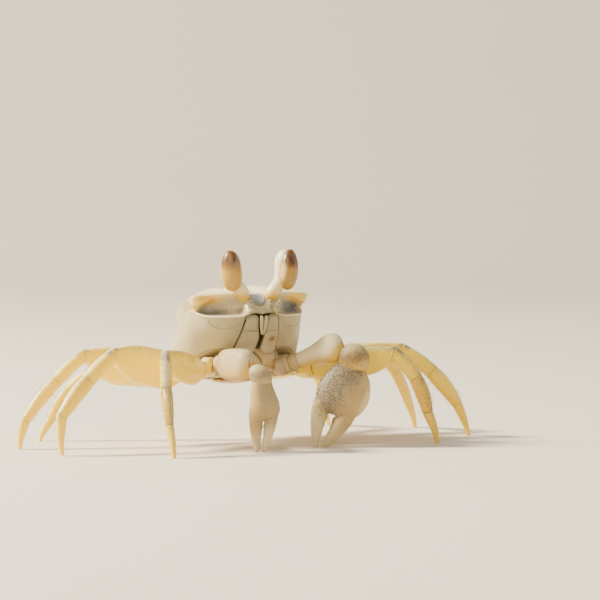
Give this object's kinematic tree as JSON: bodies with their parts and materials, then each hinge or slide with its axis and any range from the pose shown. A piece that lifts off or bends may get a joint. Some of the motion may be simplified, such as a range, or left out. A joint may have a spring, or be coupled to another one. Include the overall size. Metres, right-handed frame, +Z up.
{
  "type": "ghost crab",
  "caption": "Life-size still model of a ghost crab standing on its toes, tall oval eyes raised on stalks, boxy pale shell, unequal claws lowered in front of its mouth.",
  "frame": {"origin": "on the floor, under the middle of the box round the whole crab", "axes": "+X to the crab's own left, -Y the way its face points, +Z up"},
  "size_m": [0.116, 0.0614, 0.0481],
  "materials": {
    "shell": "satin cream shell",
    "belly": "satin plates, brown seams",
    "leg": "translucent golden shell",
    "claw": "granular greyish beige",
    "stalk": "smooth cream",
    "cornea": "polished brown"
  },
  "bodies": {
    "root": {"carapace": "shell", "sternum": "belly", "abdomen": "belly", "mouthpart_left": "belly", "antenna_left": "stalk", "eyestalk_left": "stalk", "cornea_left": "cornea", "mouthpart_right": "belly", "antenna_right": "stalk", "eyestalk_right": "stalk", "cornea_right": "cornea", "leg_left_1_merus": "leg", "leg_left_1_carpus": "leg", "leg_left_1_propodus": "leg", "leg_left_1_dactyl": "leg", "leg_left_2_merus": "leg", "leg_left_2_carpus": "leg", "leg_left_2_propodus": "leg", "leg_left_2_dactyl": "leg", "leg_left_3_merus": "leg", "leg_left_3_carpus": "leg", "leg_left_3_propodus": "leg", "leg_left_3_dactyl": "leg", "leg_left_4_merus": "leg", "leg_left_4_carpus": "leg", "leg_left_4_propodus": "leg", "leg_left_4_dactyl": "leg", "leg_right_1_merus": "leg", "leg_right_1_carpus": "leg", "leg_right_1_propodus": "leg", "leg_right_1_dactyl": "leg", "leg_right_2_merus": "leg", "leg_right_2_carpus": "leg", "leg_right_2_propodus": "leg", "leg_right_2_dactyl": "leg", "leg_right_3_merus": "leg", "leg_right_3_carpus": "leg", "leg_right_3_propodus": "leg", "leg_right_3_dactyl": "leg", "leg_right_4_merus": "leg", "leg_right_4_carpus": "leg", "leg_right_4_propodus": "leg", "leg_right_4_dactyl": "leg", "claw_left_merus": "claw", "claw_left_carpus": "claw", "claw_left_palm": "claw", "claw_left_finger": "claw", "claw_right_merus": "claw", "claw_right_carpus": "claw", "claw_right_palm": "claw", "claw_right_finger": "claw"}
  },
  "joints": []
}
